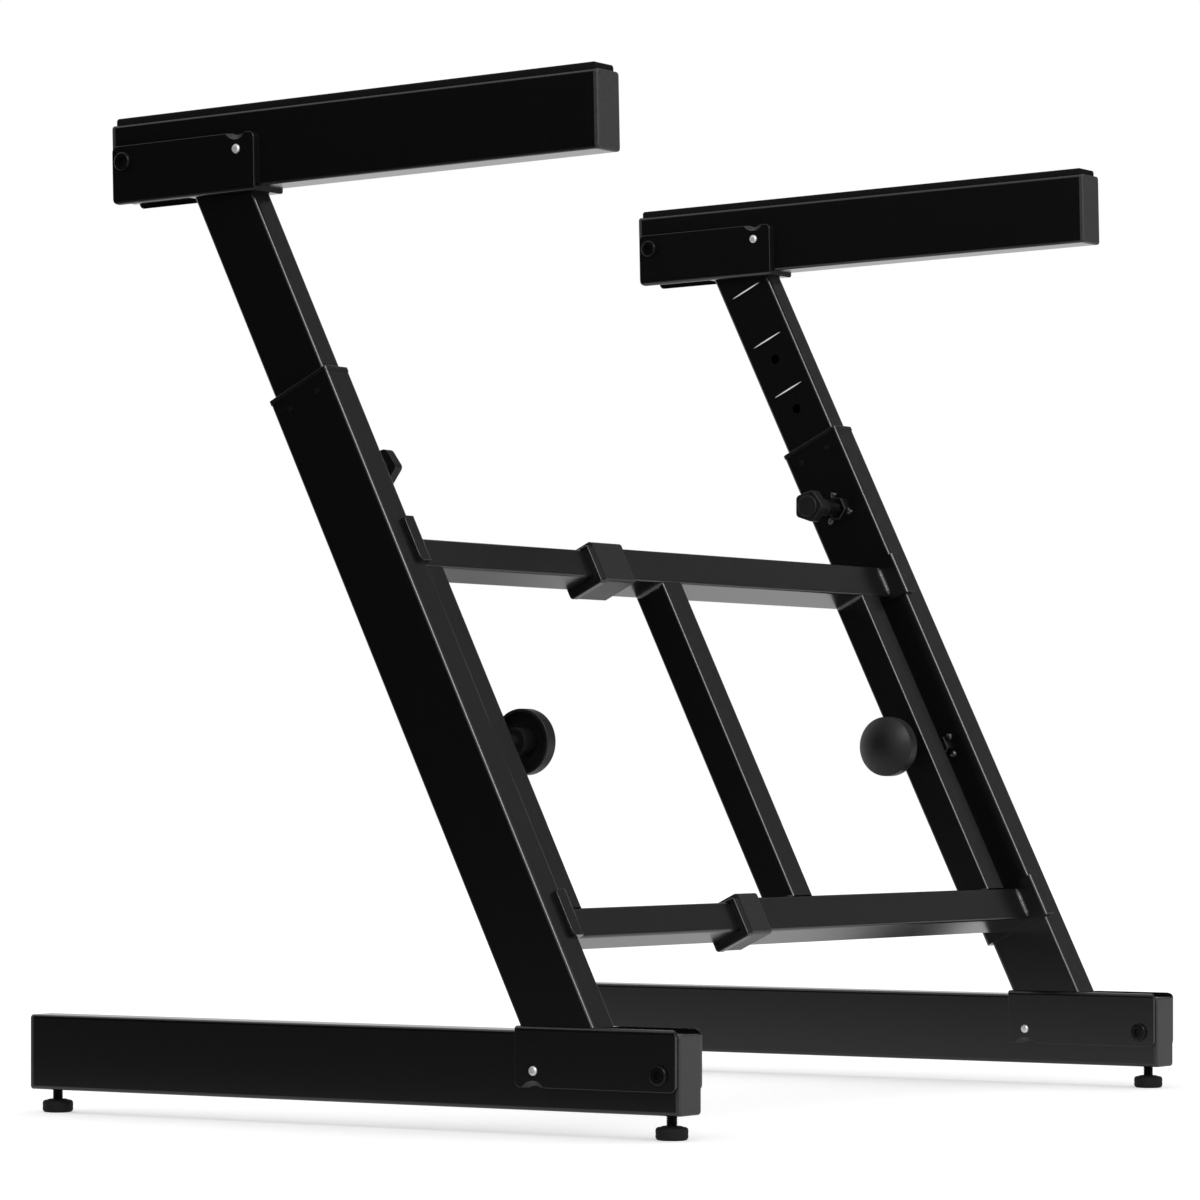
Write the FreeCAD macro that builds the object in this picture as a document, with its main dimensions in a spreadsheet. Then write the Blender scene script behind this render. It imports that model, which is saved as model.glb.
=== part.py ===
import FreeCAD, Part
import math
import os
import re

# Folding Z-shaped keyboard stand: two side frames joined by a ladder-like cross frame that slides wider.
# Millimetres. +Z is up, -Y is the player's side, X runs across. The origin is on the floor below the middle.

os.makedirs("parts", exist_ok=True)
doc = FreeCAD.newDocument("KeyboardStand")
sheet = doc.addObject("Spreadsheet::Sheet", "Sizes")

SIZES = [
    # Layout of the side frames
    ("side_spacing", 643.0),
    ("base_lift", 15.5),
    ("base_length", 515.0),
    ("base_pivot_inset", 13.3),
    ("upright_foot", 78.1),
    ("lean_angle", 26.16),
    ("arm_pivot_above", 201.7),
    ("arm_pivot_behind", 59.0),
    ("arm_rise_angle", 1.28),
    ("arm_length", 384.8),
    ("arm_pivot_inset", 11.5),
    # Rectangular tube of bases, uprights and arms
    ("tube_wide", 25.0),
    ("tube_deep", 50.0),
    ("tube_wall", 1.5),
    ("tube_round", 2.5),
    ("tube_inner_round", 1.0),
    # End caps
    ("cap_flange", 3.0),
    ("cap_plug", 4.5),
    ("cap_gap", 0.05),
    ("cap_round", 1.2),
    # Rubber pad on each arm
    ("pad_wide", 21.5),
    ("pad_thick", 4.6),
    ("pad_inset", 3.0),
    ("pad_round", 1.5),
    # Channel brackets that hold the base and the arm
    ("plate", 3.0),
    ("plate_overlap", 35.5),
    ("plate_gap", 0.2),
    ("plate_bend", 3.0),
    ("plate_corner", 4.0),
    ("plate_edge", 0.5),
    ("base_plate_nose", 12.0),
    ("base_plate_tail", 107.3),
    ("base_web_start", 47.3),
    ("arm_plate_nose", 9.0),
    ("arm_plate_tail", 108.0),
    ("arm_web_start", 52.3),
    ("scoop_radius", 10.1),
    ("scoop_floor_radius", 6.9),
    ("scoop_offset", 5.7),
    # Pivot bolts
    ("pivot_radius", 3.2),
    ("pivot_hole_radius", 3.25),
    ("pivot_head_radius", 6.3),
    ("pivot_head_tall", 2.4),
    ("pivot_head_round", 1.6),
    ("pivot_socket_radius", 2.9),
    ("pivot_socket_deep", 1.6),
    # Snap buttons
    ("button_reach", 93.5),
    ("button_radius", 3.2),
    ("button_hole_radius", 3.28),
    ("button_plate_hole_radius", 3.6),
    ("button_flange_radius", 4.6),
    ("button_flange_thick", 1.5),
    ("button_proud", 1.1),
    ("button_round", 2.0),
    # Levelling feet
    ("foot_inset", 13.7),
    ("foot_radius", 10.2),
    ("foot_tall", 8.8),
    ("foot_round", 1.6),
    ("foot_socket", 4.0),
    ("stem_radius", 3.6),
    ("stem_hole_radius", 3.65),
    ("stem_inside", 11.0),
    ("stem_round", 0.7),
    # Telescoping uprights
    ("upright_length", 453.5),
    ("inner_wide", 20.0),
    ("inner_deep", 43.2),
    ("inner_round", 2.0),
    ("inner_inserted", 123.5),
    ("height_pitch", 42.7),
    ("height_hole_radius", 3.5),
    ("height_knob_drop", 55.0),
    ("bush_plug", 32.0),
    ("bush_lip", 3.0),
    ("bush_lip_over", 0.4),
    ("bush_lip_round", 0.6),
    ("bush_gap", 0.1),
    ("bush_seat_gap", 0.05),
    ("pip_drop", 9.0),
    ("pip_spread", 12.2),
    ("pip_radius", 2.0),
    ("pip_hole_radius", 2.05),
    ("pip_proud", 0.6),
    ("pip_root", 0.6),
    # Clamp nuts and screw knobs
    ("nut_corner_radius", 9.24),
    ("nut_thick", 5.0),
    ("stud_radius", 5.0),
    ("stud_thread_radius", 5.05),
    ("stud_hole_radius", 5.4),
    ("stud_tip_gap", 0.4),
    ("stud_tip_round", 0.8),
    ("left_star_face", 40.0),
    ("right_star_face", 44.0),
    ("star_thick", 8.6),
    ("star_radius", 12.8),
    ("star_corner", 3.4),
    ("star_edge", 0.9),
    ("star_boss_radius", 8.0),
    ("star_boss_tall", 1.2),
    ("star_boss_round", 1.0),
    ("star_neck_radius", 6.3),
    ("star_neck_long", 15.0),
    ("clamp_rise", 0.9),
    ("left_dome_gap", 13.8),
    ("right_dome_gap", 19.0),
    ("dome_hub_radius", 9.3),
    ("dome_hub_long", 9.4),
    ("dome_radius", 21.6),
    ("dome_rim", 9.2),
    ("dome_rise", 9.0),
    ("dome_shell", 2.2),
    ("dome_hollow", 6.5),
    ("dome_round", 0.8),
    ("dome_back_round", 0.8),
    # Cross frame
    ("upper_bar_drop", 123.0),
    ("lower_bar_at", 65.5),
    ("bar_big", 25.0),
    ("bar_small", 21.0),
    ("bar_wall", 1.25),
    ("bar_round", 2.0),
    ("bar_inner_round", 0.8),
    ("big_bar_start", -84.0),
    ("small_bar_end", 150.0),
    ("middle_brace_at", 4.5),
    ("right_brace_gap", 15.7),
    ("left_brace_gap", 17.2),
    ("hook_tall", 32.0),
    ("hook_reach", 9.6),
    ("hook_gap", 0.2),
    ("hook_corner", 3.5),
    ("sleeve_wide", 30.0),
    ("upper_sleeve_long", 37.0),
    ("lower_sleeve_long", 24.6),
    ("sleeve_round", 2.5),
    ("sleeve_gap", 0.05),
    ("lip_wide", 28.4),
    ("lip_forward", 1.1),
    ("lip_drop", 2.3),
    ("lip_edge", 0.9),
    ("lip_long", 6.0),
    ("lip_groove", 1.2),
    ("lip_groove_deep", 2.4),
    ("lip_plug", 24.0),
    # Allowance by which cutting shapes run past what they cut, and the blocks that trim slanted ends
    ("overrun", 5.0),
    ("trimmer", 400.0),
]

HEIGHT_HOLE_STEPS = (-1, 0, 1, 2, 3)
STAR_SIDES = 5
HEX_SIDES = 6
SIDES = (("left", -1), ("right", 1))
PARALLEL_SHARE = 0.999
TOUCHING = 1e-4
X_AXIS = FreeCAD.Vector(1, 0, 0)
Y_AXIS = FreeCAD.Vector(0, 1, 0)
Z_AXIS = FreeCAD.Vector(0, 0, 1)
AXES = {"x": X_AXIS, "y": Y_AXIS, "z": Z_AXIS}
LEVEL = FreeCAD.Rotation()
TOWARDS = {"x": FreeCAD.Rotation(Y_AXIS, 90), "y": FreeCAD.Rotation(X_AXIS, -90), "z": LEVEL}
UPSIDE_DOWN = FreeCAD.Placement(FreeCAD.Vector(), FreeCAD.Rotation(X_AXIS, 180))

for row, (alias, amount) in enumerate(SIZES, start=1):
    sheet.set(f"A{row}", alias)
    sheet.set(f"B{row}", str(amount))
    sheet.setAlias(f"B{row}", alias)
doc.recompute()

pieces = []


# The value of a formula in sheet names
def size(text):
    return float(sheet.evalExpression(text))


# The same formula as other objects of the document write it
def formula(text):
    return re.sub(r"[a-z][a-z_]*", lambda name: "Sizes." + name.group(0), text)


def bind(piece, sizes):
    for prop, text in sizes.items():
        piece.setExpression(prop, formula(text))


def centred(piece, centre, lengths):
    for axis, middle, length in zip("xyz", centre, lengths):
        bind(piece, {f"Placement.Base.{axis}": f"({middle}) - ({length}) / 2"})


# A box given by its size and its middle
def block(wide, deep, tall, centre):
    piece = doc.addObject("Part::Box", "Block")
    bind(piece, {"Length": wide, "Width": deep, "Height": tall})
    centred(piece, centre, (wide, deep, tall))
    return piece


# A round bar along one axis, given by its middle
def rod(radius, length, centre, axis="x"):
    piece = doc.addObject("Part::Cylinder", "Rod")
    bind(piece, {"Radius": radius, "Height": length})
    piece.Placement = FreeCAD.Placement(FreeCAD.Vector(), TOWARDS[axis])
    centred(piece, centre, [length if axis == other else "0" for other in "xyz"])
    return piece


# Regular bar with a number of sides that starts at a given X and runs outward on one side
def prism(sides, turn, radius, length, start, side, height):
    piece = doc.addObject("Part::Prism", "Prism")
    piece.Polygon = sides
    bind(piece, {"Circumradius": radius, "Height": length})
    outward = FreeCAD.Rotation(Y_AXIS, 90 * side)
    piece.Placement = FreeCAD.Placement(FreeCAD.Vector(), outward.multiply(FreeCAD.Rotation(Z_AXIS, turn)))
    bind(piece, {"Placement.Base.x": start, "Placement.Base.z": height})
    return piece


# Large block that takes away all on one side of a level plane, up or down
def trimmer(placement, lowest):
    piece = doc.addObject("Part::Box", "Trimmer")
    bind(piece, {"Length": "trimmer", "Width": "trimmer", "Height": "trimmer"})
    corner = FreeCAD.Vector(-size("trimmer / 2"), -size("trimmer / 2"), lowest)
    piece.Placement = placement.multiply(FreeCAD.Placement(corner, LEVEL))
    return piece


def paired(kind, first, second):
    result = doc.addObject(kind, "Result")
    result.Base = first
    result.Tool = second
    return result


def cut(base, *tools):
    for tool in tools:
        base = paired("Part::Cut", base, tool)
    return base


def join(base, *others):
    for other in others:
        base = paired("Part::Fuse", base, other)
    return base


def common(base, other):
    return paired("Part::Common", base, other)


def group(*members):
    result = doc.addObject("Part::Compound", "Group")
    result.Links = list(members)
    return result


# Rounds the edges of a piece that pass a test
def soften(base, radius, test):
    doc.recompute()
    result = doc.addObject("Part::Fillet", "Softened")
    result.Base = base
    numbered = enumerate(base.Shape.Edges, start=1)
    result.Edges = [(number, size(radius), size(radius)) for number, edge in numbered if test(edge)]
    return result


# Rounds the straight edges along one axis whose middle passes a test
def rounded(base, axis, radius, test=lambda middle: True):
    def along(edge):
        if len(edge.Vertexes) < 2:
            return False
        start, end = (vertex.Point for vertex in edge.Vertexes)
        run = (end - start).normalize()
        return abs(run.dot(AXES[axis])) > PARALLEL_SHARE and test(edge.CenterOfMass)
    return soften(base, radius, along)


# Rounds the edges of a piece that lie in one plane across an axis and whose middle passes a test
def rim(base, axis, place, radius, test=lambda middle: True):
    low = f"{axis.upper()}Min"
    high = f"{axis.upper()}Max"

    def in_plane(edge):
        box = edge.BoundBox
        ends = (getattr(box, low), getattr(box, high))
        flat = all(math.isclose(end, size(place), abs_tol=TOUCHING) for end in ends)
        return flat and test(edge.CenterOfMass)
    return soften(base, radius, in_plane)


# A rectangular bar with rounded corners along one axis
def bar(wide, deep, tall, centre, axis, radius):
    return rounded(block(wide, deep, tall, centre), axis, radius)


# A hollow rectangular tube along one axis
def tube(lengths, centre, axis, wall, outer_round, inner_round):
    hollow = [f"({length}) + 2 * overrun" if axis == name else f"({length}) - 2 * {wall}"
              for name, length in zip("xyz", lengths)]
    return cut(bar(*lengths, centre, axis, outer_round), bar(*hollow, centre, axis, inner_round))


# The 2:1 tube of bases, uprights and arms
def main_tube(lengths, centre, axis):
    return tube(lengths, centre, axis, "tube_wall", "tube_round", "tube_inner_round")


def finish(piece, label, placement):
    piece.Label = label
    piece.Placement = placement
    pieces.append(piece)


# End caps of a tube that runs from front to rear along Y: a flange and a plug each
def end_caps(front, rear):
    caps = []
    for end, inward in ((front, 1), (rear, -1)):
        flange_at = ("0", f"{end} + {inward} * cap_flange / 2", "0")
        flange = bar("tube_wide", "cap_flange", "tube_deep", flange_at, "y", "tube_round")
        flange = rim(flange, "y", end, "cap_round")
        plug_at = ("0", f"{end} + {inward} * (cap_flange + cap_plug / 2)", "0")
        plug = bar("tube_wide - 2 * tube_wall - 2 * cap_gap", "cap_plug",
                   "tube_deep - 2 * tube_wall - 2 * cap_gap", plug_at, "y", "tube_inner_round")
        caps.append(join(flange, plug))
    return group(*caps)


# Channel bracket around a tube, its pivot at the origin, its web on top and its tail along +Y
def channel(nose, tail, web_start):
    inside_wide = "tube_wide + 2 * plate_gap"
    wide = f"{inside_wide} + 2 * plate"
    long = f"{nose} + {tail}"
    tall = "plate + plate_overlap"
    middle = ("0", f"({tail} - {nose}) / 2", f"tube_deep / 2 + plate - ({tall}) / 2")
    halfway = size(middle[2])
    bends = rounded(block(wide, long, tall, middle), "y", "plate_bend", lambda at: at.z > halfway)
    corners = rounded(block(wide, long, tall, middle), "x", "plate_corner",
                      lambda at: at.z < halfway or at.y < 0)
    top = size("tube_deep / 2 + plate")
    for side in (1, -1):
        corners = rim(corners, "x", f"{side} * ({wide}) / 2", "plate_edge", lambda at: at.z < top - TOUCHING)
    inside_tall = "plate_overlap + overrun"
    inside = block(inside_wide, f"{long} + 2 * overrun", inside_tall,
                   ("0", middle[1], f"tube_deep / 2 - ({inside_tall}) / 2"))
    opening = block(inside_wide, f"{nose} + overrun + {web_start}", "plate + 2 * overrun",
                    ("0", f"({web_start} - {nose} - overrun) / 2", "tube_deep / 2 + plate / 2"))
    pivot = rod("pivot_hole_radius", f"{wide} + 2 * overrun", ("0", "0", "0"))
    button = rod("button_plate_hole_radius", f"{wide} + 2 * overrun", ("0", "button_reach", "0"))
    return cut(common(bends, corners), inside, opening, pivot, button, scoop(1), scoop(-1))


# Finger scoop in a bracket plate's free edge, beside the snap button
def scoop(side):
    piece = doc.addObject("Part::Cone", "Scoop")
    bind(piece, {"Radius1": "scoop_floor_radius", "Radius2": "scoop_radius", "Height": "plate"})
    piece.Placement = FreeCAD.Placement(FreeCAD.Vector(), FreeCAD.Rotation(Y_AXIS, 90 * side))
    bind(piece, {
        "Placement.Base.x": f"{side} * (tube_wide / 2 + plate_gap)",
        "Placement.Base.y": "button_reach",
        "Placement.Base.z": "tube_deep / 2 - plate_overlap - scoop_offset",
    })
    return piece


# Pivot bolt across a bracket: a low round head with a hex socket on each outer face
def pivot_bolt():
    plate_face = "tube_wide / 2 + plate_gap + plate"
    ends = []
    for side in (1, -1):
        top = f"{side} * ({plate_face} + pivot_head_tall)"
        head_at = (f"{top} - {side} * pivot_head_tall / 2", "0", "0")
        head = rod("pivot_head_radius", "pivot_head_tall", head_at)
        socket = prism(HEX_SIDES, 90, "pivot_socket_radius", "pivot_socket_deep + overrun",
                       f"{top} - {side} * pivot_socket_deep", side, "0")
        ends.append(cut(rim(head, "x", top, "pivot_head_round"), socket))
    shank = rod("pivot_radius", f"2 * ({plate_face})", ("0", "0", "0"))
    return group(join(ends[0], shank), ends[1])


# Snap button that stands out through the tube wall and its bracket plate, with a flange behind the wall
def snap_button(side, along):
    tip = "tube_wide / 2 + plate_gap + plate + button_proud"
    root = "tube_wide / 2 - tube_wall - button_flange_thick"
    stem = rod("button_radius", f"{tip} - ({root})", (f"{side} * ({tip} + {root}) / 2", along, "0"))
    flange = rod("button_flange_radius", "button_flange_thick",
                 (f"{side} * ({root} + button_flange_thick / 2)", along, "0"))
    return join(rim(stem, "x", f"{side} * ({tip})", "button_round"), flange)


# Levelling foot: the rubber disc
def foot_disc(along):
    floor = "0 - base_lift - tube_deep / 2"
    top = f"{floor} + foot_tall"
    disc = rod("foot_radius", "foot_tall", ("0", along, f"{floor} + foot_tall / 2"), "z")
    disc = rim(rim(disc, "z", floor, "foot_round"), "z", top, "foot_round")
    socket_at = ("0", along, f"{top} + (overrun - foot_socket) / 2")
    socket = rod("stem_radius", "foot_socket + overrun", socket_at, "z")
    return cut(disc, socket)


# Levelling foot: the threaded stem that stands in the disc
def foot_stem(along):
    bottom = "0 - base_lift - tube_deep / 2 + foot_tall - foot_socket"
    top = "stem_inside - tube_deep / 2"
    stem = rod("stem_radius", f"{top} - ({bottom})", ("0", along, f"({top} + {bottom}) / 2"), "z")
    return rim(stem, "z", top, "stem_round")


# Hex clamp nut on the inner face of an upright, with two of its corners along the upright
def clamp_nut(side, height):
    body = prism(HEX_SIDES, 0, "nut_corner_radius", "nut_thick", f"{-side} * tube_wide / 2", -side, height)
    hole_at = (f"{-side} * (tube_wide + nut_thick) / 2", "0", height)
    hole = rod("stud_thread_radius", "nut_thick + 2 * overrun", hole_at)
    return cut(body, hole)


# Head of the screw knob that clamps the telescoping tube: five rounded corners, one of them level and to
# the front, a low cap on the face and a neck behind it
def star_head(side, at, reach):
    face = f"tube_wide / 2 + {reach}"
    back = f"{face} - star_thick"
    turn = -side * size("lean_angle") - 90
    head = prism(STAR_SIDES, turn, "star_radius", "star_thick", f"{-side} * ({back})", -side, at)
    head = rim(rounded(head, "x", "star_corner"), "x", f"{-side} * ({face})", "star_edge")
    boss = rod("star_boss_radius", "star_boss_tall", (f"{-side} * ({face} + star_boss_tall / 2)", "0", at))
    boss = rim(boss, "x", f"{-side} * ({face} + star_boss_tall)", "star_boss_round")
    neck = rod("star_neck_radius", "star_neck_long", (f"{-side} * ({back} - star_neck_long / 2)", "0", at))
    return join(head, boss, neck)


# Screw of that knob, from the end of the neck to just short of the telescoping tube
def star_screw(side, at, reach):
    top = f"tube_wide / 2 + {reach} - star_thick - star_neck_long"
    tip = "inner_wide / 2 + stud_tip_gap"
    screw = rod("stud_radius", f"{top} - ({tip})", (f"{-side} * ({top} + {tip}) / 2", "0", at))
    return rim(screw, "x", f"{-side} * ({tip})", "stud_tip_round")


# Domed screw knob whose stud passes through the brace into the upright's clamp nut
def dome_knob(side, brace_face, at, gap):
    hub_end = f"{brace_face} - {gap}"
    back = f"{hub_end} - dome_hub_long"
    front = f"{back} - dome_rim"
    ball = "(dome_radius * dome_radius + dome_rise * dome_rise) / (2 * dome_rise)"
    skirt = rod("dome_radius", "dome_rim", (f"{side} * ({back} - dome_rim / 2)", "0", at))
    sphere = doc.addObject("Part::Sphere", "Ball")
    bind(sphere, {"Radius": ball, "Placement.Base.z": at})
    bind(sphere, {"Placement.Base.x": f"{side} * ({front} - dome_rise + {ball})"})
    crown = common(sphere, rod("dome_radius", "dome_rise", (f"{side} * ({front} - dome_rise / 2)", "0", at)))
    hollow_at = (f"{side} * ({back} - dome_hollow / 2)", "0", at)
    hollow = cut(rod("dome_radius - dome_shell", "dome_hollow", hollow_at),
                 rod("dome_hub_radius", "dome_hollow + 2 * overrun", hollow_at))
    hub = rod("dome_hub_radius", "dome_hub_long", (f"{side} * ({back} + dome_hub_long / 2)", "0", at))
    tip = "side_spacing / 2 - inner_wide / 2 - stud_tip_gap"
    stud = rod("stud_radius", f"{tip} - ({hub_end})", (f"{side} * ({tip} + {hub_end}) / 2", "0", at))
    cap = rim(join(skirt, crown), "x", f"{side} * ({front})", "dome_round")
    cap = rim(cap, "x", f"{side} * ({back})", "dome_back_round")
    return join(cut(cap, hollow), hub, stud)


# Hook bracket that wraps an upright from the inside
def hook(side, at):
    start = "side_spacing / 2 - tube_wide / 2 - plate"
    wide = "plate + hook_reach"
    deep = "tube_deep + 2 * hook_gap + 2 * plate"
    middle = (f"{side} * ({start} + ({wide}) / 2)", "0", at)
    upright_face = size(f"{start} + plate")
    bends = rounded(block(wide, deep, "hook_tall", middle), "z", "plate_bend",
                    lambda place: abs(place.x) < upright_face)
    corners = rounded(block(wide, deep, "hook_tall", middle), "y", "hook_corner",
                      lambda place: abs(place.x) > upright_face)
    web = size(start)
    for way in (1, -1):
        corners = rim(corners, "y", f"{way} * ({deep}) / 2", "plate_edge",
                      lambda place: abs(place.x) > web + TOUCHING)
    gap = block("hook_reach + overrun", "tube_deep + 2 * hook_gap", "hook_tall + 2 * overrun",
                (f"{side} * ({start} + plate + (hook_reach + overrun) / 2)", "0", at))
    return cut(common(bends, corners), gap)


# Square tube of the cross frame, along X or up the slant
def square_tube(wide, start, end, at, axis):
    long = f"({end}) - ({start})"
    middle = f"(({end}) + ({start})) / 2"
    lengths = [long if axis == name else wide for name in "xyz"]
    centre = (middle, "0", at) if axis == "x" else (at, "0", middle)
    return tube(lengths, centre, axis, "bar_wall", "bar_round", "bar_inner_round")


# Sleeve around the open end of a larger crossbar
def sleeve(long, at):
    middle = (f"big_bar_start + {long} / 2", "0", at)
    bore = "bar_big + 2 * sleeve_gap"
    return cut(bar(long, "sleeve_wide", "sleeve_wide", middle, "x", "sleeve_round"),
               bar(f"{long} + 2 * overrun", bore, bore, middle, "x", "bar_round"))


# Plastic lip and guide in the open end of a larger crossbar
def lip(at):
    neck_wide = "lip_wide - 2 * lip_groove_deep"
    plug_wide = "bar_big - 2 * bar_wall - 2 * sleeve_gap"
    bore = "bar_small + 2 * bush_gap"
    off_centre = ("0 - lip_forward", f"{at} - lip_drop")
    flange = bar("lip_long", "lip_wide", "lip_wide",
                 ("big_bar_start - lip_groove - lip_long / 2", *off_centre), "x", "sleeve_round")
    flange = rim(flange, "x", "big_bar_start - lip_groove - lip_long", "lip_edge")
    neck_at = ("big_bar_start - lip_groove / 2", *off_centre)
    neck = bar("lip_groove", neck_wide, neck_wide, neck_at, "x", "sleeve_round")
    plug_at = ("big_bar_start + lip_plug / 2", "0", at)
    plug = bar("lip_plug", plug_wide, plug_wide, plug_at, "x", "bar_inner_round")
    hole = bar("2 * (lip_long + lip_groove + lip_plug)", bore, bore,
               ("big_bar_start", "0", at), "x", "bar_inner_round")
    return cut(join(flange, neck, plug), hole)


# Plastic bush in the top of an upright, with two pips through each side wall that keep it there
def bush():
    plug_at = ("0", "0", "upright_length - bush_plug / 2")
    seat = "2 * (tube_wall + bush_seat_gap)"
    plug = bar(f"tube_wide - {seat}", f"tube_deep - {seat}", "bush_plug", plug_at, "z", "tube_inner_round")
    ring = bar("tube_wide + 2 * bush_lip_over", "tube_deep + 2 * bush_lip_over", "bush_lip",
               ("0", "0", "upright_length + bush_lip / 2"), "z", "tube_round")
    ring = rim(ring, "z", "upright_length + bush_lip", "bush_lip_round")
    pip_at = "upright_length - pip_drop"
    pip_long = "tube_wall + pip_proud + pip_root"
    pips = [rod("pip_radius", pip_long, (f"{face} * (tube_wide / 2 + pip_proud - ({pip_long}) / 2)",
                                         f"{way} * pip_spread", pip_at))
            for face in (1, -1) for way in (1, -1)]
    hole = bar("inner_wide + 2 * bush_gap", "inner_deep + 2 * bush_gap", "2 * (bush_plug + bush_lip)",
               plug_at, "z", "tube_inner_round")
    return cut(join(plug, ring, *pips), hole)


# Frames in which the pieces are drawn
lean = FreeCAD.Rotation(X_AXIS, -size("lean_angle"))
rise = FreeCAD.Rotation(X_AXIS, -size("arm_rise_angle"))
base_pivot = FreeCAD.Vector(0, size("base_pivot_inset - base_length / 2"), size("base_lift + tube_deep / 2"))
upright_foot = base_pivot + FreeCAD.Vector(0, size("upright_foot"), size("tube_deep / 2 + plate"))
arm_offset = FreeCAD.Vector(0, size("arm_pivot_behind"), size("upright_length + arm_pivot_above"))
arm_pivot = upright_foot + lean.multVec(arm_offset)
cross_frame = FreeCAD.Placement(upright_foot, lean)

inner_face = "side_spacing / 2 - tube_wide / 2"
web_face = f"{inner_face} - plate"
upper_bar_at = "upright_length - upper_bar_drop"
clamp_at = f"({upper_bar_at} + lower_bar_at) / 2 + clamp_rise"
knob_at = "upright_length - height_knob_drop"
through = "tube_wide + 2 * overrun"
arm_middle = "arm_pivot_inset - arm_length / 2"
feet = (("front", "foot_inset - base_pivot_inset"), ("rear", "base_length - base_pivot_inset - foot_inset"))

for name, side in SIDES:
    aside = FreeCAD.Vector(side * size("side_spacing / 2"), 0, 0)
    base_frame = FreeCAD.Placement(aside + base_pivot, LEVEL)
    upright_frame = FreeCAD.Placement(aside + upright_foot, lean)
    arm_frame = FreeCAD.Placement(aside + arm_pivot, rise)
    faces = (("outer", side), ("inner", -side))

    # Base with its end caps, feet and snap buttons, and the bracket it folds in
    base = main_tube(("tube_wide", "base_length - 2 * cap_flange", "tube_deep"),
                     ("0", "base_length / 2 - base_pivot_inset", "0"), "y")
    stem_holes = [rod("stem_hole_radius", "2 * overrun", ("0", along, "0 - tube_deep / 2"), "z")
                  for end, along in feet]
    base = cut(base, rod("pivot_hole_radius", through, ("0", "0", "0")),
               rod("button_hole_radius", through, ("0", "button_reach", "0")), *stem_holes)
    finish(base, f"{name}_base_tube", base_frame)
    caps = end_caps("0 - base_pivot_inset", "base_length - base_pivot_inset")
    finish(caps, f"{name}_base_end_caps", base_frame)
    for end, along in feet:
        finish(foot_disc(along), f"{name}_{end}_foot", base_frame)
        finish(foot_stem(along), f"{name}_{end}_foot_stem", base_frame)
    for face, direction in faces:
        finish(snap_button(direction, "button_reach"), f"{name}_base_{face}_button", base_frame)
    bracket = channel("base_plate_nose", "base_plate_tail", "base_web_start")
    finish(bracket, f"{name}_base_bracket", base_frame)
    finish(pivot_bolt(), f"{name}_base_pivot_bolt", base_frame)

    # Upright with its bush, clamp nuts and height knob
    upright = main_tube(("tube_wide", "tube_deep", "2 * upright_length"), ("0", "0", "0"), "z")
    below = trimmer(FreeCAD.Placement(FreeCAD.Vector(), lean.inverted()), -size("trimmer"))
    rest = block("2 * tube_wide", "2 * tube_deep", "upright_length",
                 ("0", "0", "0 - upright_length + tube_deep / 2"))
    pip_holes = [rod("pip_hole_radius", through, ("0", f"{way} * pip_spread", "upright_length - pip_drop"))
                 for way in (1, -1)]
    stud_holes = [rod("stud_hole_radius", "2 * overrun", (f"{-side} * tube_wide / 2", "0", at))
                  for at in (knob_at, clamp_at)]
    finish(cut(upright, rest, below, *pip_holes, *stud_holes), f"{name}_upright_tube", upright_frame)
    finish(bush(), f"{name}_upright_bush", upright_frame)
    finish(group(clamp_nut(side, knob_at), clamp_nut(side, clamp_at)), f"{name}_clamp_nuts", upright_frame)
    finish(star_head(side, knob_at, f"{name}_star_face"), f"{name}_height_knob", upright_frame)
    finish(star_screw(side, knob_at, f"{name}_star_face"), f"{name}_height_screw", upright_frame)

    # Telescoping tube, cut to the web of the bracket that carries the arm
    long = "inner_inserted + arm_pivot_above + tube_deep"
    inner = main_tube(("inner_wide", "inner_deep", long),
                      ("0", "0", f"upright_length - inner_inserted + ({long}) / 2"), "z")
    arm_tilt = lean.inverted().multiply(rise)
    above = trimmer(FreeCAD.Placement(arm_offset, arm_tilt), -size("tube_deep / 2 + plate"))
    height_holes = [rod("height_hole_radius", "2 * overrun",
                        (f"{-side} * inner_wide / 2", "0", f"{knob_at} + {step} * height_pitch"))
                    for step in HEIGHT_HOLE_STEPS]
    finish(cut(inner, above, *height_holes), f"{name}_telescoping_tube", upright_frame)
    bracket = channel("arm_plate_nose", "arm_plate_tail", "arm_web_start")
    finish(bracket, f"{name}_arm_bracket", arm_frame.multiply(UPSIDE_DOWN))
    finish(pivot_bolt(), f"{name}_arm_pivot_bolt", arm_frame)

    # Arm with its end caps, rubber pad and snap buttons
    arm = main_tube(("tube_wide", "arm_length - 2 * cap_flange", "tube_deep"), ("0", arm_middle, "0"), "y")
    arm = cut(arm, rod("pivot_hole_radius", through, ("0", "0", "0")),
              rod("button_hole_radius", through, ("0", "0 - button_reach", "0")))
    finish(arm, f"{name}_arm_tube", arm_frame)
    finish(end_caps("arm_pivot_inset - arm_length", "arm_pivot_inset"), f"{name}_arm_end_caps", arm_frame)
    pad = block("pad_wide", "arm_length - 2 * pad_inset", "pad_thick",
                ("0", arm_middle, "(tube_deep + pad_thick) / 2"))
    pad = rim(pad, "z", "tube_deep / 2 + pad_thick", "pad_round")
    finish(pad, f"{name}_arm_pad", arm_frame)
    for face, direction in faces:
        finish(snap_button(direction, "0 - button_reach"), f"{name}_arm_{face}_button", arm_frame)

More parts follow.
